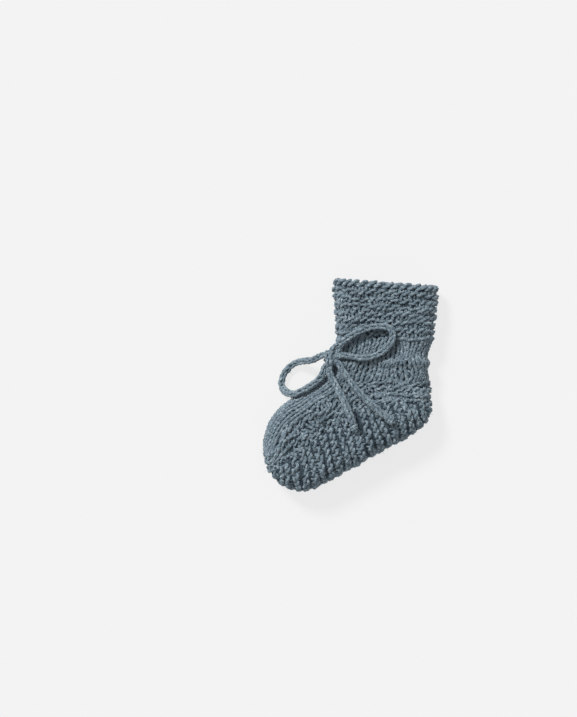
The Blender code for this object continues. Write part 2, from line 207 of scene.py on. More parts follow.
# The cast-off chain: the height of its band, how deep its middle lies, its yarn's radius, and the shares
# of the band where the chain and the core under it run. A link's points are along it, up and out of the
# band.
CAST_OFF_HEIGHT = 3.8
CAST_OFF_DEPTH = 2.3
CAST_OFF_YARN = 1.05
CAST_OFF_LEVEL = 0.42
CAST_OFF_CORE_LEVEL = 0.5
CAST_OFF_LINKS = 30
CAST_OFF_LINK_STEPS = 24
CAST_OFF_CORE_STEPS = 8
CAST_OFF_NOISE = (0.05, 0.2, 0.16)
CAST_OFF_LINK = [
    (0.0, -1.5, 0.0), (0.42, -0.8, 1.25), (0.92, 0.8, 1.15), (1.3, 1.2, 0.0), (0.98, 0.8, -1.15),
    (0.46, -0.8, -1.25),
]

# A direction that no cord or seam starts along, and the seeds of the random draws.
OFF_HINT = (0.3, 0.2, 1.0)
BOW_SEED = 3
TIE_SEED = 4
SECTIONS_SEED = 5

# A cord knitted round: its yarn's radius, relief and row height as shares of its diameter, how high its
# loops reach in rows and how they sway, and the wanders of its level, turn and reach.
CORD_WALES = 2
CORD_STEPS = 14
CORD_ROUTE_STEPS = 40
CORD_YARN = 0.2
CORD_RELIEF = 0.08
CORD_ROW = 0.72
CORD_LOOP = 0.66
CORD_SWAY = 0.16
CORD_LEVEL_WANDER = (1.1, 0.07)
CORD_TURN_WANDER = (1.6, 0.05)
CORD_REACH_WANDER = (0.9, 0.09)

# The nub at a tie's end: its yarn's radius and windings, its radius, where it starts, how long it is,
# the share of it where it begins to narrow, the share where the yarn stops, and how far the yarn's
# section leans ahead.
NUB_YARN = 0.92
NUB_TURN = 5.6 * math.pi
NUB_RADIUS = 1.5
NUB_START = 0.3
NUB_LENGTH = 4.2
NUB_STEPS = 80
NUB_TAPER = 0.3
NUB_END = 0.98
NUB_LEAN = 0.01

# The yarn's section: three plies, each a groove and two corners, that turn once in the twist's length.
PLY_PROFILE = np.array([0.74, 1.0, 1.0] * 3)
TWIST_LENGTH = 7.5

# The height below which wool is pressed flat against the plane.
PRESSED_HEIGHT = 0.8

# The dark sheet at the fabric's mid depth, painted shade for the gaps between the loops: its thickness,
# and its lap under the sections beside it.
SHADE_SHEET_WALL = 0.3
SHADE_SHEET_LAP = 0.9

# The fine fibres that stand off the yarn: yarn points for each one, their length and how it varies,
# their radii from root to tip, how deep they are rooted, how far they lean and how much they curl.
FUZZ_POINTS = 36
FUZZ_LENGTH = 1.5
FUZZ_LENGTH_SHARES = (0.4, 1.6)
FUZZ_RADII = (0.045, 0.035, 0.015)
FUZZ_SIDES = 4
FUZZ_ROOT = 0.1
FUZZ_LEAN = 0.6
FUZZ_CURL = 0.35

# The seams inside: how deep they lie, how wide the overcast yarn winds, its radius, its twist and its
# pitch, and how finely a turn and the line under it are made.
SEAM_INSET = 5.3
SEAM_REACH = 0.5
SEAM_YARN = 0.42
SEAM_TWIST = 4.0
SEAM_PITCH = 1.9
SEAM_TURN_STEPS = 12
SEAM_CURVE_STEPS = 4

# The wool's colours from its dark to its light fibres, with each one's place on the ramp, and the same
# for the dark sheet between the loops, which paints their shade. Then the sheen's tint.
WOOL_COLOURS = [
    (0.39, (0.075, 0.110, 0.140)), (0.5, (0.155, 0.212, 0.252)), (0.62, (0.41, 0.49, 0.535)),
]
SHADE_SHEET_COLOURS = [(0.35, (0.022, 0.032, 0.042)), (0.7, (0.08, 0.11, 0.135))]
SHEEN_TINT = (0.75, 0.83, 0.9, 1.0)
SEAM_TONE = 0.8

# Each noise in the wool: its scale, detail and roughness, and its share of the colour.
FIBRE_NOISE = (2.2, 4.0, 0.7)
MOTTLE_NOISE = (260.0, 3.0, 0.6)
FLECK_NOISE = (720.0, 2.0, 0.5)
SHADE_SHEET_NOISE = (900.0, 2.0, 0.5)
FIBRE_SHARE = 0.45
MOTTLE_SHARE = 0.2
FLECK_SHARE = 0.35

# The wool's roughness and what its fibres add to it. A bump's strength and its height in millimetres.
WOOL_ROUGHNESS = 0.82
FIBRE_ROUGHNESS = 0.15
FIBRE_BUMP = (0.45, 0.12)
SHADE_SHEET_BUMP = (1.0, 0.1)

# How the fibre noise is stretched: the radius that the yarn is wrapped to, and its length along the
# yarn.
FIBRE_WRAP = 3.2
FIBRE_STRETCH = 0.35

# The camera, straight above: its turn, the plan point under it, the width it takes in, its lens, its
# sensor and how near and far it sees in metres.
CAMERA_TURN = math.radians(4.0)
CAMERA_CENTRE = (-36.6, 14.4)
CAMERA_FRAME = 415.9
CAMERA_LENS = 100.0
SENSOR = 36.0
CAMERA_CLIP = (0.01, 20.0)

# The floor: its half width in metres and its corners' signs, how far it lies below the wool, its grey
# and glow.
FLOOR_HALF = 9.0
FLOOR_CORNERS = [(-1, -1), (1, -1), (1, 1), (-1, 1)]
FLOOR_DROP = 0.05
FLOOR_GREY = (0.12, 0.12, 0.12, 1.0)
FLOOR_GLOW = 0.77

# The sky's grey, pale up to a little above the horizon and darker overhead.
SKY_COLOURS = [(0.16, (0.896, 0.896, 0.896)), (0.4, (0.37, 0.37, 0.37))]

# The lamp's strength, the angle that it spans in the sky, and its tilt.
LAMP_ENERGY = 2.85
LAMP_ANGLE = math.radians(14.0)
LAMP_TILT = (math.radians(-32.0), math.radians(-34.0), 0.0)


# ---------------------------------------------------------------- the bootie's surface

def unit(vectors):
    """The same directions, one long."""
    return vectors / np.linalg.norm(vectors, axis=-1, keepdims=True)


def distances(line):
    """How far along a line each of its points lies."""
    steps = np.linalg.norm(np.diff(line, axis=0), axis=1)
    return np.concatenate([[0.0], np.cumsum(steps)])


def read_along(values, along, places):
    """Values known at some distances along a line, read at other places on it."""
    return np.stack([np.interp(places, along, values[:, k]) for k in range(values.shape[1])], axis=1)


def nearest(line, point):
    """The index of a line's point that is nearest to a point."""
    return int(np.argmin(np.linalg.norm(line - point, axis=1)))


def resample(line, shares):
    """Points at the given shares of a line's length."""
    along = distances(line)
    return read_along(line, along, np.asarray(shares) * along[-1])


def mix(a, b, low, high, t):
    """From a at t = low to b at t = high."""
    share = (t - low) / (high - low)
    return a * (1.0 - share) + b * share


def smooth_curve(points, count):
    """Points evenly spaced along one smooth curve through the given points (centripetal Catmull-Rom)."""
    p = np.array(points, float)
    shares = np.linspace(0.0, 1.0, count)
    if len(p) == 2:
        return resample(p, shares)
    ends = np.vstack([2.0 * p[0] - p[1], p, 2.0 * p[-1] - p[-2]])
    fine = []
    for a, b, c, d in zip(ends, ends[1:], ends[2:], ends[3:]):
        k = np.cumsum([0.0] + [math.sqrt(np.linalg.norm(v - u)) for u, v in ((a, b), (b, c), (c, d))])
        t = np.linspace(k[1], k[2], CURVE_STEPS, endpoint=False)[:, None]
        early = mix(mix(a, b, k[0], k[1], t), mix(b, c, k[1], k[2], t), k[0], k[2], t)
        late = mix(mix(b, c, k[1], k[2], t), mix(c, d, k[2], k[3], t), k[1], k[3], t)
        fine.append(mix(early, late, k[1], k[2], t))
    return resample(np.vstack(fine + [p[-1:]]), shares)


def edge(*curves):
    """Plan curves joined end to end, as a function of the share of their whole length."""
    fine = np.vstack([smooth_curve(points, EDGE_STEPS) for points in curves])
    return lambda t: resample(fine, t)


def still(point):
    """An edge that has shrunk to one plan point."""
    return lambda t: np.repeat([point], len(t), axis=0)


FOLD = smooth_curve(OUTLINE, FOLD_STEPS)


def fold_between(start, end):
    """The stretch of the fold line between two plan points, as a function of the share of its length."""
    first = nearest(FOLD, start)
    last = nearest(FOLD, end)
    step = 1 if last > first else -1
    stretch = np.vstack([[start], FOLD[first:last:step][1:], [end]])
    return lambda t: resample(stretch, t)


def inside(plan):
    """True for each plan point that lies within the fold line."""
    a = FOLD
    b = np.roll(FOLD, -1, axis=0)
    x = plan[:, None, 0]
    y = plan[:, None, 1]
    rises = (a[:, 1] > y) != (b[:, 1] > y)
    with np.errstate(divide="ignore", invalid="ignore"):
        crossing = a[:, 0] + (y - a[:, 1]) * (b[:, 0] - a[:, 0]) / (b[:, 1] - a[:, 1])
    return (rises & (x < crossing)).sum(axis=1) % 2 == 1


def depth(plan):
    """How far each plan point lies inside the fold line, not counting the open mouth."""
    a = FOLD[:-1]
    run = np.diff(FOLD, axis=0)
    share = ((plan[:, None, :] - a) * run).sum(axis=2) / (run * run).sum(axis=1)
    nearest = a + np.clip(share, 0.0, 1.0)[:, :, None] * run
    reach = np.linalg.norm(plan[:, None, :] - nearest, axis=2).min(axis=1)
    return np.where(inside(plan), reach, -reach)


def thickness(plan):
    """The bootie's thickness over plan points, which grows smoothly from the leg to the foot."""
    share = np.clip((ANKLE_LEVEL - plan[:, 1]) / (ANKLE_LEVEL - FOOT_LEVEL), 0.0, 1.0)
    return LEG_THICKNESS + (FOOT_THICKNESS - LEG_THICKNESS) * share * share * (3.0 - 2.0 * share)


def surface(plan, side):
    """The outer surface over plan points, with side 1 for the near layer and -1 for the far layer."""
    full = thickness(plan)
    fold = FOLD_SHARE * full
    rise = full - fold if side > 0 else fold
    out = np.clip(1.0 - depth(plan) / (EDGE_SHARE * full), 0.0, 1.0)
    return np.column_stack([plan, fold + side * rise * np.sqrt(1.0 - out * out)])


def fullness(points):
    """A field that is 1 on the outer surface and smaller inside it."""
    full = thickness(points[:, :2])
    above = points[:, 2] - FOLD_SHARE * full
    rise = np.where(above > 0, 1.0 - FOLD_SHARE, FOLD_SHARE) * full
    out = np.maximum(1.0 - depth(points[:, :2]) / (EDGE_SHARE * full), 0.0)
    return out * out + (above / rise) ** 2


def outward(points):
    """Unit vectors off the outer surface at its points."""
    flat = points.reshape(-1, 3)
    steps = SLOPE_STEP * np.eye(3)
    slope = np.column_stack([fullness(flat + step) - fullness(flat - step) for step in steps])
    return unit(slope).reshape(points.shape)


def patch(top_edge, low_edge, start_edge, end_edge):
    """Plan points inside four edge curves: across(t, f), with t along the long edges and f between them."""

    def across(t, f):
        t = np.atleast_1d(t)
        u = t[:, None]
        long_way = (1.0 - f) * top_edge(t) + f * low_edge(t)
        short_way = (1.0 - u) * start_edge([f]) + u * end_edge([f])
        top_chord = (1.0 - u) * top_edge([0.0]) + u * top_edge([1.0])
        low_chord = (1.0 - u) * low_edge([0.0]) + u * low_edge([1.0])
        return long_way + short_way - (1.0 - f) * top_chord - f * low_chord

    return across


def tube_between(top_lines, low_lines):
    """The plan of a tube section between two edges that cross the pouch from fold to fold."""
    return patch(edge(*top_lines), edge(*low_lines), fold_between(top_lines[0][0], low_lines[0][0]),
                 fold_between(top_lines[-1][-1], low_lines[-1][-1]))


def flap_between(inner_line, fold_end, end_edge):
    """The plan of a section from its inner edge out to the fold line, which meets that edge at its start."""
    return patch(edge(inner_line), fold_between(inner_line[0], fold_end), still(inner_line[0]), end_edge)


def ring(across, f, columns):
    """Points right round both layers of a tube section, from its front fold and back to it."""
    t = (1.0 - np.cos(np.linspace(0.0, math.pi, RING_STEPS))) / 2.0
    plan = across(t, f)
    half = np.arange(columns // 2) / (columns // 2)
    near = resample(surface(plan, 1), half)
    far = resample(surface(plan[::-1], -1), half)
    return np.vstack([near, far])


def evened(dense, rows):
    """The same grid with evenly spaced rows."""
    shares = np.linspace(0.0, 1.0, rows + 1)
    return np.stack([resample(dense[:, j], shares) for j in range(dense.shape[1])], axis=1)


class Fabric:
    """A section's outer surface, read at any share of its rows and of its stitches."""

    def __init__(self, points, closed):
        self.closed = closed
        away = outward(points)
        if closed:
            points = np.concatenate([points, points[:, :1]], axis=1)
            away = np.concatenate([away, away[:, :1]], axis=1)
        self.points = points
        self.away = away

    def read(self, down, along):
        """Surface points and their outward directions, straight on past the first and the last row."""
        rows, columns = self.points.shape[:2]
        if self.closed:
            along = along % 1.0
        v = down * (rows - 1)
        u = along * (columns - 1)
        i = np.clip(v.astype(int), 0, rows - 2)
        j = np.clip(np.floor(u).astype(int), 0, columns - 2)
        v = (v - i)[:, None]
        u = (u - j)[:, None]

        def between(grid):
            top = grid[i, j] * (1.0 - u) + grid[i, j + 1] * u
            low = grid[i + 1, j] * (1.0 - u) + grid[i + 1, j + 1] * u
            return top * (1.0 - v) + low * v

        return between(self.points), unit(between(self.away))

    def width(self, down):
        """The section's width across its stitches at a share of its rows. A share of 1 would read as 0."""
        shares = np.linspace(0.0, 1.0, self.points.shape[1])
        line = self.read(np.full(len(shares), down), np.minimum(shares, 1.0 - 1e-9))[0]
        return distances(line)[-1]


def ring_fabric(across, rows):
    """A tube section, with its first stitch on the front fold."""
    shares = np.linspace(0.0, 1.0, ROW_STEPS * rows + 1)
    dense = np.array([ring(across, f, RING_COLUMNS) for f in shares])
    return Fabric(evened(dense, rows), True)


def folded_fabric(across, rows, span):
    """A section folded along the fold line, with rows from one of its edges over the fold to the other."""
    f = 1.0 - np.linspace(1.0, 0.0, FLAP_STEPS) ** 2
    dense = []
    for t in np.linspace(*span, ROW_STEPS * rows + 1):
        plan = np.vstack([across(t, share) for share in f])
        line = np.vstack([surface(plan, 1), surface(plan[-2::-1], -1)])
        dense.append(resample(line, np.linspace(0.0, 1.0, FLAP_COLUMNS + 1)))
    return Fabric(evened(np.array(dense), rows), False)


# ---------------------------------------------------------------- yarn

def pressed(points):
    """Wool that would sink below the plane is pressed flat on it."""
    low = np.minimum(points[:, 2], PRESSED_HEIGHT)
    flat = PRESSED_HEIGHT * np.exp(low / PRESSED_HEIGHT - 1.0)
    return np.column_stack([points[:, :2], np.where(points[:, 2] < PRESSED_HEIGHT, flat, points[:, 2])])


def put_in_map(corners, start, end, low, high):
    """Place quads in a map: each from its start to its end, and across that from its low to its high side."""
    for side, values in ((0, start), (1, start), (2, end), (3, end)):
        corners[side::4, 0] = values
    for side, values in ((0, low), (3, low), (1, high), (2, high)):
        corners[side::4, 1] = values


def add_map(mesh, name, corners):
    """Give a mesh a map, from a place for each corner."""
    mesh.uv_layers.new(name=name).data.foreach_set("uv", corners.astype(np.float32).ravel())


def grid_faces(i, after, j, beside, columns):
    """The corners of the faces between rows i and after and columns j and beside of a grid."""
    return np.column_stack([i * columns + j, i * columns + beside, after * columns + beside,
                            after * columns + j])


class Skein:
    """Yarn gathered into one mesh, with a map along and round the yarn and a second one for baking.

    The second map cuts the yarn into strips of CELL_RINGS rings, about CELL_SHAPE times as long as they are
    wide, and lays them in the map's lower YARN_BAND. The sheet of painted shade has the rest.
    """

    CELL_RINGS = 64
    CELL_SHAPE = 8.0
    CELL_MARGINS = (0.01, 0.06)
    YARN_BAND = 0.92
    SHADE_SHEET_MARGIN = 0.05

    def __init__(self):
        self.count = 0
        self.points, self.corners, self.along, self.caps = [], [], [], []
        self.skin, self.fuzz, self.matted, self.matted_map = [], [], [], []

    def lay(self, path, away, radius, closed=False, twist=TWIST_LENGTH):
        """Add one length of yarn. away points off the path at each of its points."""
        sides = len(PLY_PROFILE)
        if closed:
            ahead = unit(np.roll(path, -1, axis=0) - np.roll(path, 1, axis=0))
            length = distances(np.vstack([path, path[:1]]))
        else:
            ahead = unit(np.gradient(path, axis=0))
            length = distances(path)
        out = away - (away * ahead).sum(axis=1)[:, None] * ahead
        out /= np.maximum(np.linalg.norm(out, axis=1), 1e-6)[:, None]
        side = np.cross(ahead, out)

        turns = length / twist
        if closed:
            turns *= max(round(turns[-1]), 1) / turns[-1]
        angle = 2.0 * math.pi * (turns[:len(path), None] + np.arange(sides) / sides)
        reach = np.asarray(radius).reshape(-1, 1) * PLY_PROFILE
        rings = path[:, None] + reach[..., None] * (np.cos(angle)[..., None] * out[:, None]
                                                    + np.sin(angle)[..., None] * side[:, None])

        rows = len(path) if closed else len(path) - 1
        i = np.repeat(np.arange(rows), sides)
        k = np.tile(np.arange(sides), rows)
        faces = grid_faces(i, (i + 1) % len(path), k, (k + 1) % sides, sides)
        self.corners.append(faces + self.count)
        self.along.append(np.column_stack([length[i], length[i + 1], k / sides, (k + 1) / sides]))
        if not closed:
            first = np.arange(sides)[::-1] + self.count
            last = np.arange(sides) + self.count + (len(path) - 1) * sides
            self.caps += [first, last]
        self.points.append(rings.reshape(-1, 3))
        self.skin.append(np.concatenate([rings, rings - path[:, None]], axis=2).reshape(-1, 6))
        self.count += len(rings) * sides

    def tease(self, dice):
        """Draw fine fibres out of the yarn."""
        skin = np.vstack(self.skin)
        skin = skin[dice.integers(0, len(skin), len(skin) // FUZZ_POINTS)]
        off = unit(skin[:, 3:])
        ahead = unit(off + dice.normal(0.0, FUZZ_LEAN, off.shape))
        side = unit(np.cross(ahead, dice.normal(0.0, 1.0, off.shape)))
        reach = FUZZ_LENGTH * dice.uniform(*FUZZ_LENGTH_SHARES, (len(off), 1))
        root = skin[:, :3] - FUZZ_ROOT * off
        middle = root + 0.5 * reach * ahead
        tip = middle + 0.5 * reach * ahead + FUZZ_CURL * reach * side
        corners = [side, np.cross(ahead, side)]
        corners += [-corner for corner in corners]
        rings = [[place + radius * corner for corner in corners]
                 for place, radius in zip((root, middle, tip), FUZZ_RADII)]
        self.points.append(np.array(rings).transpose(2, 0, 1, 3).reshape(-1, 3))

        sides = FUZZ_SIDES
        fibre = len(FUZZ_RADII) * sides
        first = self.count + fibre * np.arange(len(off))[:, None]
        for low in range(0, fibre - sides, sides):
            for k in range(sides):
                beside = (k + 1) % sides
                self.fuzz.append(first + np.array([k, beside, sides + beside, sides + k]) + low)
        self.fuzz.append(first + np.arange(sides)[::-1])
        self.fuzz.append(first + np.arange(fibre - sides, fibre))
        self.count += fibre * len(off)

    def back(self, fabric, sink):
        """Add the sheet of painted shade that closes a section behind its loops, thin and at their mid depth.
        """
        columns = fabric.points.shape[1] - (1 if fabric.closed else 0)
        rows = fabric.points.shape[0]
        below = rows * columns
        sheet = fabric.points[:, :columns].copy()
        for last, inner in ((0, 1), (-1, -2)):
            sheet[last] += SHADE_SHEET_LAP * unit(fabric.points[last, :columns] - fabric.points[inner, :columns])
        away = fabric.away[:, :columns]
        layers = [sheet - (sink + side * SHADE_SHEET_WALL / 2.0) * away for side in (-1.0, 1.0)]
        spans = columns if fabric.closed else columns - 1
        i = np.repeat(np.arange(rows - 1), spans)
        j = np.tile(np.arange(spans), rows - 1)
        outer = grid_faces(i, i + 1, j, (j + 1) % columns, columns)
        across = np.arange(spans)
        low = (rows - 1) * columns
        rims = [np.column_stack([(across + 1) % columns, across]),
                np.column_stack([low + across, low + (across + 1) % columns])]
        if not fabric.closed:
            down = np.arange(rows - 1)
            rims.append(np.column_stack([down * columns, (down + 1) * columns]))
            rims.append(np.column_stack([(down + 1) * columns, down * columns]) + columns - 1)
        rims = np.vstack(rims)
        rims = np.column_stack([rims, rims[:, ::-1] + below])
        self.matted.append(np.vstack([outer, outer[:, ::-1] + below, rims]) + self.count)
        place = np.column_stack([j / spans, (j + 1) / spans, i / rows, (i + 1) / rows])
        self.matted_map.append(np.vstack([place, place[:, (1, 0, 2, 3)], np.zeros((len(rims), 4))]))
        self.points.append(np.vstack([layer.reshape(-1, 3) for layer in layers]))
        self.count += 2 * below

    def piece(self, name, *materials):
        """The mesh object. A second material is for the sheet of painted shade between the loops."""
        points = pressed(np.vstack(self.points))
        yarn_quads = np.vstack(self.corners)
        thick_quads = np.vstack([yarn_quads] + self.matted)
        quads = np.vstack([thick_quads] + self.fuzz)
        reach = np.vstack(self.along)
        mesh = bpy.data.meshes.new(name)
        mesh.vertices.add(len(points))
        mesh.vertices.foreach_set("co", (points * MM).astype(np.float32).ravel())
        loops = np.concatenate([quads.ravel()] + list(self.caps))
        cap_starts = 4 * len(quads) + len(PLY_PROFILE) * np.arange(len(self.caps))
        starts = np.concatenate([np.arange(len(quads)) * 4, cap_starts])
        mesh.loops.add(len(loops))
        mesh.loops.foreach_set("vertex_index", loops.astype(np.int32))
        mesh.polygons.add(len(starts))
        mesh.polygons.foreach_set("loop_start", starts.astype(np.int32))
        # Material 1 is the sheet that paints the shade in the gaps between the loops.
        kinds = np.zeros(len(starts), np.int32)
        kinds[len(yarn_quads):len(thick_quads)] = 1
        mesh.polygons.foreach_set("material_index", kinds)
        mesh.update(calc_edges=True)
        mesh.validate()
        mesh.shade_smooth()

        yarn = np.zeros((len(loops), 2))
        put_in_map(yarn[:4 * len(yarn_quads)], *reach.T)
        add_map(mesh, "yarn", yarn)
        add_map(mesh, "OFBake", self.bake_map(len(loops), len(yarn_quads), reach))

        obj = bpy.data.objects.new(name, mesh)
        bpy.context.scene.collection.objects.link(obj)
        for material in materials:
            mesh.materials.append(material)
        return obj

    def bake_map(self, loops, quads, reach):
        """A map that lays the yarn out in strips side by side, for the visual model's baked images."""
        step = np.arange(quads) // len(PLY_PROFILE)
        cell = step // self.CELL_RINGS
        cells = int(cell.max()) + 1
        columns = max(1, math.ceil(math.sqrt(cells / self.CELL_SHAPE)))
        lines = math.ceil(cells / columns)
        gap, edge_gap = self.CELL_MARGINS
        start = gap + (1.0 - 2.0 * gap) * (step % self.CELL_RINGS) / self.CELL_RINGS
        end = start + (1.0 - 2.0 * gap) / self.CELL_RINGS
        up = edge_gap + (1.0 - 2.0 * edge_gap) * reach[:, 2:].T
        low, high = self.YARN_BAND * ((cell // columns + up) / lines)
        flat = np.zeros((loops, 2))
        put_in_map(flat[:4 * quads], (cell % columns + start) / columns, (cell % columns + end) / columns,
                   low, high)
        if self.matted:
            place = np.vstack(self.matted_map)
            gap = self.SHADE_SHEET_MARGIN
            up = 1.0 - (1.0 - self.YARN_BAND) * (1.0 - gap - (1.0 - 2.0 * gap) * place[:, 2:])
            put_in_map(flat[4 * quads:4 * (quads + len(place)), ::-1], *up.T, *place[:, :2].T)
        return flat


def wander(dice, places, kind, loose=1.0):
    """Smooth noise along a yarn: random knots a spacing apart, joined up."""
    spacing, reach = kind
    count = int(places[-1] / spacing) + 3
    knots = dice.normal(0.0, reach * loose, count)
    share = places / spacing
    i = share.astype(int)
    f = share - i
    f = f * f * (3.0 - 2.0 * f)
    return knots[i] * (1.0 - f) + knots[i + 1] * f


def garter(relief, furrow, folded=False):
    """Garter stitch: how far its loops stand in and out, and how deep its furrows are.

    A section that is folded along the middle of its rows is stretched smoother there.
    """

    def loop(t, row, count):
        turn = 2.0 * math.pi * t
        across = GARTER_SWAY * np.sin(2.0 * turn)
        down = -GARTER_HEIGHT * np.cos(turn) - GARTER_SLANT * np.sin(2.0 * turn)
        slow, fast = GARTER_WAVES
        out = (relief if row % 2 else -relief) * (slow * np.cos(turn) + fast * np.cos(3.0 * turn))
        from_furrow = (row + 1.5 + down) % 2.0 - 1.0
        out -= furrow * np.exp(-((from_furrow / FURROW_ROWS) ** 2))
        if folded:
            out *= 1.0 - FOLD_EASE * np.exp(-(((t / count - 0.5) / FOLD_EASE_SHARE) ** 2))
        return across, down, out

    return loop


def stocking(lean, relief, tie_level):
    """Stocking stitch: legs in front that lean into a V, heads behind. A tie under it pushes it out."""

    def loop(t, row, count):
        turn = 2.0 * math.pi * t
        across = lean * np.sin(2.0 * turn) + STOCKING_SLANT * np.sin(turn)
        down = -STOCKING_HEIGHT * np.cos(turn)
        over_tie = np.exp(-(((row + 0.5 + down - tie_level) / TIE_PUSH_ROWS) ** 2))
        smoothed = relief * (1.0 - TIE_SMOOTHING * over_tie)
        return across, down, TIE_PUSH * over_tie - smoothed * np.cos(2.0 * turn)

    return loop


def unevenness(dice, stitches):
    """Slow waves over a section, about one high, as a function of the share along it and the row."""
    along = dice.integers(max(1, stitches // 10), max(3, stitches // 4), WAVES)
    down = dice.uniform(*WAVE_TURNS, WAVES) * dice.choice((-1.0, 1.0), WAVES)
    phase = dice.uniform(0.0, 2.0 * math.pi, WAVES)

    def at(share, row):
        angle = 2.0 * math.pi * (share[:, None] * along + row[:, None] * down) + phase
        return np.cos(angle).sum(axis=1) / math.sqrt(WAVES / 2.0)

    return at


def knit(skein, fabric, dice, rows, stitches, loop, sink, radius, loose):
    """Knit a section row by row. stitches is one count, or None where the count follows the width."""
    middle_count = stitches or round(fabric.width(0.5) / STITCH_WIDTH)
    sway, shift, lump = (unevenness(dice, middle_count) for _ in range(3))
    for row in range(rows):
        count = stitches or max(2, round(fabric.width((row + 0.5) / rows) / STITCH_WIDTH))
        points = count * STITCH_STEPS
        t = np.arange(points + (0 if fabric.closed else 1)) / STITCH_STEPS
        across, down, out = loop(t, row, count)
        down = row + 0.5 + down * (1.0 + wander(dice, t, HEIGHT_WANDER, loose))
        down += wander(dice, t, LEVEL_WANDER, loose)
        along = (t + across + wander(dice, t, PLACE_WANDER, loose)) / count
        lift = out + wander(dice, t, LIFT_WANDER, loose) + LUMP * loose * lump(along, down) - sink
        swayed = down + SWAY * loose * sway(along, down)
        shifted = along + SHIFT * loose * shift(along, down) / count
        place, away = fabric.read(swayed / rows, shifted)
        thick = radius * (1.0 + wander(dice, t, YARN_WANDER, loose))
        skein.lay(place + lift[:, None] * away, away, thick, closed=fabric.closed)


# ---------------------------------------------------------------- cords knitted round

def carried_frames(path):
    """Directions off a path that turn as little as they can along it."""
    ahead = unit(np.gradient(path, axis=0))
    out = [unit(np.cross(ahead[0], OFF_HINT))]
    for step in ahead[1:]:
        out.append(unit(out[-1] - (out[-1] @ step) * step))
    out = np.array(out)
    return out, np.cross(ahead, out)


def icord(skein, route, diameter, dice):
    """A cord knitted round in two stitches, one long spiral of loops, along a route."""
    yarn = CORD_YARN * diameter
    relief = CORD_RELIEF * diameter
    middle = diameter / 2.0 - yarn - relief
    line = smooth_curve(route, CORD_ROUTE_STEPS * len(route))
    out, side = carried_frames(line)
    rows = max(1, round(distances(line)[-1] / (CORD_ROW * diameter)))
    t = np.arange(rows * CORD_WALES * CORD_STEPS + 1) / CORD_STEPS
    turn = 2.0 * math.pi * t
    share = (t / CORD_WALES - CORD_LOOP * np.cos(turn) + wander(dice, t, CORD_LEVEL_WANDER)) / rows
    share = np.clip(share, 0.0, 1.0)
    round_cord = t + CORD_SWAY * np.sin(2.0 * turn) + wander(dice, t, CORD_TURN_WANDER)
    angle = 2.0 * math.pi * round_cord / CORD_WALES
    reach = middle - relief * np.cos(2.0 * turn) + wander(dice, t, CORD_REACH_WANDER)
    place = share * (len(line) - 1)
    i = np.minimum(place.astype(int), len(line) - 2)
    f = (place - i)[:, None]
    centre = line[i] * (1.0 - f) + line[i + 1] * f
    away = np.cos(angle)[:, None] * (out[i] * (1.0 - f) + out[i + 1] * f)
    away = unit(away + np.sin(angle)[:, None] * (side[i] * (1.0 - f) + side[i + 1] * f))
    thick = yarn * (1.0 + wander(dice, t, YARN_WANDER))
    skein.lay(centre + reach[:, None] * away, away, thick)
    return line


# ---------------------------------------------------------------- materials

def new_material(name):
    """An empty material, with its nodes, links and shader."""
    material = bpy.data.materials.new(name)
    material.use_nodes = True
    nodes = material.node_tree.nodes
    return material, nodes, material.node_tree.links, nodes["Principled BSDF"]


def noise(nodes, links, place, kind):
    """Noise over a place, of a scale, a detail and a roughness."""
    texture = nodes.new("ShaderNodeTexNoise")
    for name, value in zip(("Scale", "Detail", "Roughness"), kind):
        texture.inputs[name].default_value = value
    links.new(place, texture.inputs["Vector"])
    return texture.outputs[0]


def colour_ramp(nodes, links, value, stops, tone=1.0):
    """A value's colour: each stop is a value and its colour."""
    ramp = nodes.new("ShaderNodeValToRGB")
    elements = ramp.color_ramp.elements
    elements[0].position = stops[0][0]
    elements[-1].position = stops[-1][0]
    for place, _ in stops[1:-1]:
        elements.new(place)
    for element, (_, colour) in zip(elements, stops):
        element.color = (*(part * tone for part in colour), 1.0)
    links.new(value, ramp.inputs[0])
    return ramp.outputs[0]


def bump(nodes, links, height, strength, distance):
    """The normal of a surface that the height raises by up to the distance in millimetres."""
    relief = nodes.new("ShaderNodeBump")
    relief.inputs["Strength"].default_value = strength
    relief.inputs["Distance"].default_value = distance * MM
    links.new(height, relief.inputs["Height"])
    return relief.outputs[0]


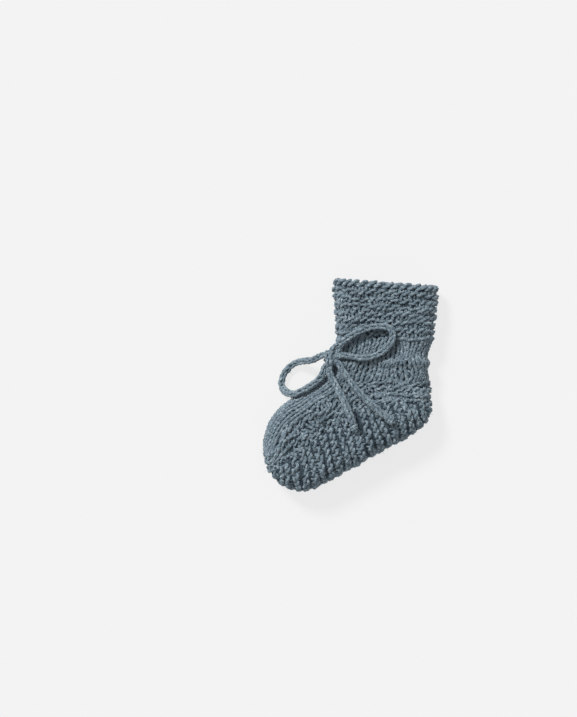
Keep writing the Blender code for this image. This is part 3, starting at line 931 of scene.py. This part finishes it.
def yarn_material(name, tone=1.0):
    """Heathered wool: fibres of several greys along the plies, soft and rough."""
    material, nodes, links, shader = new_material(name)

    def calculate(operation, *values):
        step = nodes.new("ShaderNodeMath")
        step.operation = operation
        for socket, value in zip(step.inputs, values):
            if isinstance(value, float):
                socket.default_value = value
            else:
                links.new(value, socket)
        return step.outputs[0]

    mapped = nodes.new("ShaderNodeUVMap")
    mapped.uv_map = "yarn"
    parts = nodes.new("ShaderNodeSeparateXYZ")
    links.new(mapped.outputs[0], parts.inputs[0])
    along, share = parts.outputs[0], parts.outputs[1]
    turn = calculate("MULTIPLY", share, 2.0 * math.pi)
    round_yarn = nodes.new("ShaderNodeCombineXYZ")
    links.new(calculate("MULTIPLY", calculate("COSINE", turn), FIBRE_WRAP), round_yarn.inputs[0])
    links.new(calculate("MULTIPLY", calculate("SINE", turn), FIBRE_WRAP), round_yarn.inputs[1])
    links.new(calculate("MULTIPLY", along, FIBRE_STRETCH), round_yarn.inputs[2])

    place = nodes.new("ShaderNodeTexCoord").outputs["Object"]
    fibres = noise(nodes, links, round_yarn.outputs[0], FIBRE_NOISE)
    mottle = noise(nodes, links, place, MOTTLE_NOISE)
    fleck = noise(nodes, links, place, FLECK_NOISE)
    blend = calculate("ADD", calculate("MULTIPLY", fibres, FIBRE_SHARE),
                      calculate("MULTIPLY", mottle, MOTTLE_SHARE))
    blend = calculate("ADD", blend, calculate("MULTIPLY", fleck, FLECK_SHARE))
    links.new(colour_ramp(nodes, links, blend, WOOL_COLOURS, tone), shader.inputs["Base Color"])
    links.new(bump(nodes, links, fibres, *FIBRE_BUMP), shader.inputs["Normal"])
    rough = calculate("ADD", calculate("MULTIPLY", fibres, FIBRE_ROUGHNESS), WOOL_ROUGHNESS)
    links.new(rough, shader.inputs["Roughness"])
    shader.inputs["Sheen Weight"].default_value = 0.25
    shader.inputs["Sheen Roughness"].default_value = 0.6
    shader.inputs["Sheen Tint"].default_value = SHEEN_TINT
    shader.inputs["Specular IOR Level"].default_value = 0.2
    return material


def matted_material(name):
    """Painted shade: the dark sheet seen in the gaps between the loops, with a fibre texture."""
    material, nodes, links, shader = new_material(name)
    place = nodes.new("ShaderNodeTexCoord").outputs["Object"]
    fibres = noise(nodes, links, place, SHADE_SHEET_NOISE)
    links.new(colour_ramp(nodes, links, fibres, SHADE_SHEET_COLOURS), shader.inputs["Base Color"])
    links.new(bump(nodes, links, fibres, *SHADE_SHEET_BUMP), shader.inputs["Normal"])
    shader.inputs["Roughness"].default_value = 1.0
    shader.inputs["Specular IOR Level"].default_value = 0.0
    return material


# ---------------------------------------------------------------- camera, floor and light

def camera():
    """Straight above the bootie, turned so that the leg leans as it lies."""
    data = bpy.data.cameras.new("camera")
    data.lens = CAMERA_LENS
    data.sensor_width = SENSOR
    data.clip_start, data.clip_end = CAMERA_CLIP
    obj = bpy.data.objects.new("camera", data)
    height = CAMERA_FRAME * CAMERA_LENS / SENSOR + FOLD_SHARE * LEG_THICKNESS
    obj.matrix_world = (Matrix.Translation((CAMERA_CENTRE[0] * MM, CAMERA_CENTRE[1] * MM, height * MM))
                        @ Matrix.Rotation(CAMERA_TURN, 4, "Z"))
    bpy.context.scene.collection.objects.link(obj)
    bpy.context.scene.camera = obj


def stage():
    """A plain pale floor, a soft sky, pale at its horizon, and one broad lamp from the upper left."""
    scene = bpy.context.scene
    scene.view_settings.view_transform = "Standard"
    mesh = bpy.data.meshes.new("floor")
    corners = [(x * FLOOR_HALF, y * FLOOR_HALF, -FLOOR_DROP * MM) for x, y in FLOOR_CORNERS]
    mesh.from_pydata(corners, [], [(0, 1, 2, 3)])
    floor = bpy.data.objects.new("floor", mesh)
    scene.collection.objects.link(floor)
    material, _, _, shader = new_material("floor")
    shader.inputs["Base Color"].default_value = FLOOR_GREY
    shader.inputs["Roughness"].default_value = 1.0
    shader.inputs["Specular IOR Level"].default_value = 0.0
    shader.inputs["Emission Color"].default_value = (1.0, 1.0, 1.0, 1.0)
    shader.inputs["Emission Strength"].default_value = FLOOR_GLOW
    mesh.materials.append(material)

    world = bpy.data.worlds.new("sky")
    scene.world = world
    world.use_nodes = True
    nodes = world.node_tree.nodes
    links = world.node_tree.links
    parts = nodes.new("ShaderNodeSeparateXYZ")
    links.new(nodes.new("ShaderNodeTexCoord").outputs["Generated"], parts.inputs[0])
    greys = colour_ramp(nodes, links, parts.outputs[2], SKY_COLOURS)
    links.new(greys, nodes["Background"].inputs[0])

    lamp = bpy.data.lights.new("key", "SUN")
    lamp.energy = LAMP_ENERGY
    lamp.angle = LAMP_ANGLE
    key = bpy.data.objects.new("key", lamp)
    key.rotation_euler = LAMP_TILT
    scene.collection.objects.link(key)


# ---------------------------------------------------------------- the pieces

def put(name, piece):
    """Put a piece on its body in place of its CAD node. What crosses the ankle is left off both bodies, with
    its place baked into its mesh.
    """
    if name in LEG_NODES:
        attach(piece, "leg")
    elif name in FOOT_NODES:
        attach(piece, "foot")
    else:
        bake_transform(piece)
    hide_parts(name)


def bow(material, dice):
    """The bow: two loops, two tails with their drawn-together ends, and the knot that holds them."""
    pieces = {}
    lines = {}
    for name, route in (("bow_loop_front", LOOP_FRONT), ("bow_loop_back", LOOP_BACK),
                        ("tie_tail_left", TAIL_LEFT), ("tie_tail_right", TAIL_RIGHT)):
        skein = Skein()
        lines[name] = icord(skein, route, TIE_DIAMETER, dice)
        skein.tease(dice)
        pieces[name] = skein.piece(name + "_knit", material)
    for side in ("left", "right"):
        name = "tie_end_" + side
        pieces[name] = tie_end(name + "_knit", lines["tie_tail_" + side], material)
    pieces["bow_knot"] = bow_knot("bow_knot_knit", material, dice)

    for name, piece in pieces.items():
        put(name, piece)
    for name, line in lines.items():
        distances(line)[-1] * MM


def bow_knot(name, material, dice):
    """The knot: one wrap of the cord round the strands that pass through it."""
    skein = Skein()
    run = unit(KNOT_RUN)
    up = np.array([0.0, 0.0, 1.0])
    up = unit(up - (up @ run) * run)
    across = np.cross(run, up)
    turn = np.linspace(*WRAP_TURN, WRAP_POINTS)[:, None]
    shift = np.linspace(*WRAP_SHIFT, WRAP_POINTS)[:, None]
    along, off = WRAP_RADII
    wrap = KNOT_CENTRE + along * np.cos(turn) * run + off * np.sin(turn) * up + shift * across
    icord(skein, wrap, WRAP_DIAMETER, dice)
    for start, end in ((LOOP_FRONT[0], LOOP_BACK[0]), (LOOP_FRONT[-1], TAIL_RIGHT[0]),
                       (LOOP_BACK[-1], TAIL_LEFT[0])):
        middle = 0.5 * KNOT_CENTRE + 0.25 * (np.array(start) + np.array(end))
        icord(skein, [start, middle, end], STRAND_DIAMETER, dice)
    return skein.piece(name, material)


def tie_end(name, line, material):
    """The rounded nub where a tie's last stitches are drawn together."""
    ahead = unit(line[-1] - line[-2])
    out, side = carried_frames(line)
    share = np.linspace(0.0, NUB_END, NUB_STEPS)
    turn = NUB_TURN * share
    taper = np.maximum((share - NUB_TAPER) / (1.0 - NUB_TAPER), 0.0)
    reach = NUB_RADIUS * np.sqrt(1.0 - taper ** 2)
    centre = line[-1] + (NUB_START + NUB_LENGTH * share[:, None]) * ahead
    away = np.cos(turn)[:, None] * out[-1] + np.sin(turn)[:, None] * side[-1]
    skein = Skein()
    skein.lay(centre + reach[:, None] * away, away + NUB_LEAN * ahead, NUB_YARN)
    return skein.piece(name, material)


def sections(dice):
    """The knitted sections, each from its own lengths of yarn."""
    garter_wool = yarn_material("garter_wool")
    stocking_wool = yarn_material("stocking_wool")
    edge_wool = yarn_material("edge_wool")
    # The sheet behind the loops is coloured dark as painted shade for the gaps between them.
    matted = matted_material("matted_wool")
    instep_flap = flap_between(INSTEP_LINE, ANKLE_FRONT_LINE[0], edge(ANKLE_FRONT_LINE[::-1]))
    sole_flap = flap_between(SOLE_LINE, SOLE_LINE[-1], still(SOLE_LINE[-1]))
    cuff = ring_fabric(tube_between([EDGE_LINE], [CUFF_LINE]), rows=14)
    mouth = ring_fabric(tube_between([MOUTH_LINE], [EDGE_LINE]), rows=2)
    ankle = ring_fabric(tube_between([CUFF_LINE], [ANKLE_FRONT_LINE, ANKLE_BACK_LINE]), rows=8)
    upper = ring_fabric(tube_between([INSTEP_LINE, ANKLE_BACK_LINE], [SOLE_LINE]), rows=10)
    instep = folded_fabric(instep_flap, rows=24, span=INSTEP_SPAN)
    sole = folded_fabric(sole_flap, rows=48, span=SOLE_SPAN)

    pieces = {}
    for name, fabric, material, plan in (
            ("cuff", cuff, garter_wool,
             dict(rows=14, stitches=30, loop=garter(relief=0.95, furrow=0.1),
                  sink=CUFF_DEPTH, radius=GARTER_YARN, loose=1.4)),
            ("ankle_band", ankle, stocking_wool,
             dict(rows=7, stitches=30, loop=stocking(lean=0.17, relief=0.55, tie_level=7 * TIE_LEVEL_SHARE),
                  sink=ANKLE_DEPTH, radius=ANKLE_YARN, loose=0.9)),
            ("instep_panel", instep, stocking_wool,
             dict(rows=24, stitches=7, loop=stocking(lean=0.12, relief=0.75, tie_level=NO_TIE),
                  sink=INSTEP_DEPTH, radius=INSTEP_YARN, loose=0.5)),
            ("foot_upper", upper, garter_wool,
             dict(rows=8, stitches=52, loop=garter(relief=0.95, furrow=0.0),
                  sink=UPPER_DEPTH, radius=GARTER_YARN, loose=1.7)),
            ("sole", sole, garter_wool,
             dict(rows=42, stitches=None, loop=garter(relief=0.7, furrow=1.2, folded=True),
                  sink=SOLE_DEPTH, radius=SOLE_YARN, loose=1.0))):
        skein = Skein()
        knit(skein, fabric, dice, **plan)
        # Close the section behind its loops with the sheet of painted shade.
        skein.back(fabric, plan["sink"])
        skein.tease(dice)
        pieces[name] = skein.piece(name + "_knit", material, matted)
    pieces["cuff_edge"] = cast_off(mouth, edge_wool, dice)

    for name, piece in pieces.items():
        put(name, piece)


def cast_off(fabric, material, dice):
    """The cast-off edge: a chain of links round the mouth, each drawn through the one before, over a core."""
    spread = np.array([STITCH_WIDTH, 1.0, 1.0])
    knots = np.array([[(i + x, y, z) for x, y, z in CAST_OFF_LINK] for i in range(CAST_OFF_LINKS)])
    knots += dice.normal(0.0, 1.0, knots.shape) * CAST_OFF_NOISE
    lap = np.array([CAST_OFF_LINKS, 0.0, 0.0])
    knots = np.concatenate([knots[-1:] - lap, knots, knots[:1] + lap]).reshape(-1, 3)
    knots *= spread
    fine = smooth_curve(knots, CAST_OFF_LINK_STEPS * (CAST_OFF_LINKS + 2))
    first = nearest(fine, knots[len(CAST_OFF_LINK)])
    last = nearest(fine, knots[-len(CAST_OFF_LINK)])
    line = fine[first:last] / spread
    place, away = fabric.read(CAST_OFF_LEVEL - line[:, 1] / CAST_OFF_HEIGHT, line[:, 0] / CAST_OFF_LINKS)
    skein = Skein()
    skein.lay(place + (line[:, 2] - CAST_OFF_DEPTH)[:, None] * away, away, CAST_OFF_YARN, closed=True)

    share = np.arange(CAST_OFF_CORE_STEPS * CAST_OFF_LINKS) / (CAST_OFF_CORE_STEPS * CAST_OFF_LINKS)
    place, away = fabric.read(np.full(len(share), CAST_OFF_CORE_LEVEL), share)
    skein.lay(place - CAST_OFF_DEPTH * away, away, CAST_OFF_YARN, closed=True)
    return skein.piece("cuff_edge_knit", material)


def under_fabric(line, inset):
    """A line on the outer surface, moved straight into the bootie by the inset."""
    return line - inset * outward(line)


def overcast(name, line, material):
    """A seam inside: yarn wound round and round along its line."""
    out, side = carried_frames(line)
    along = distances(line)
    places = np.linspace(0.0, along[-1], int(along[-1] / SEAM_PITCH * SEAM_TURN_STEPS))
    line, out, side = (read_along(values, along, places) for values in (line, out, side))
    angle = 2.0 * math.pi * places[:, None] / SEAM_PITCH
    away = np.cos(angle) * out + np.sin(angle) * side
    skein = Skein()
    skein.lay(line + SEAM_REACH * away, away, SEAM_YARN, twist=SEAM_TWIST)
    return skein.piece(name + "_stitches", material)


def seams(material):
    """The joins inside: where instep, upper and sole meet, and down the back of the leg and the heel."""
    upper = tube_between([INSTEP_LINE, ANKLE_BACK_LINE], [SOLE_LINE])
    sole_line = ring(upper, 1.0, SOLE_SEAM_POINTS)
    instep_line = edge(INSTEP_LINE)(np.linspace(*INSTEP_SEAM_SPAN, INSTEP_SEAM_POINTS))
    lines = {"sole_seam": np.vstack([sole_line, sole_line[:1]]),
             "instep_seam_near": surface(instep_line, 1),
             "instep_seam_far": surface(instep_line, -1)}
    for name, top, low, points in BACK_SEAMS:
        lines[name] = surface(fold_between(top, low)(np.linspace(0.0, 1.0, points)), 1)
    for name, line in lines.items():
        line = smooth_curve(under_fabric(line, SEAM_INSET), SEAM_CURVE_STEPS * len(line))
        put(name, overcast(name, line, material))


def threaded_tie(material, dice):
    """The tie's hidden stretch: in at the front slit, round inside the ankle, and out again to the knot."""
    ankle = tube_between([CUFF_LINE], [ANKLE_FRONT_LINE, ANKLE_BACK_LINE])
    inner = under_fabric(ring(ankle, TIE_LEVEL_SHARE, TIE_RING_POINTS), TIE_INSET)
    route = np.vstack([TIE_IN, inner[TIE_FRONT_SKIP:1 - TIE_FRONT_SKIP], TIE_OUT])
    skein = Skein()
    icord(skein, route[::2], TIE_THREADED_DIAMETER, dice)
    put("tie_band", skein.piece("tie_band_knit", material))


camera()
stage()
tie_wool = yarn_material("tie_wool")
bow(tie_wool, np.random.default_rng(BOW_SEED))
threaded_tie(tie_wool, np.random.default_rng(TIE_SEED))
sections(np.random.default_rng(SECTIONS_SEED))
seams(yarn_material("seam_wool", SEAM_TONE))
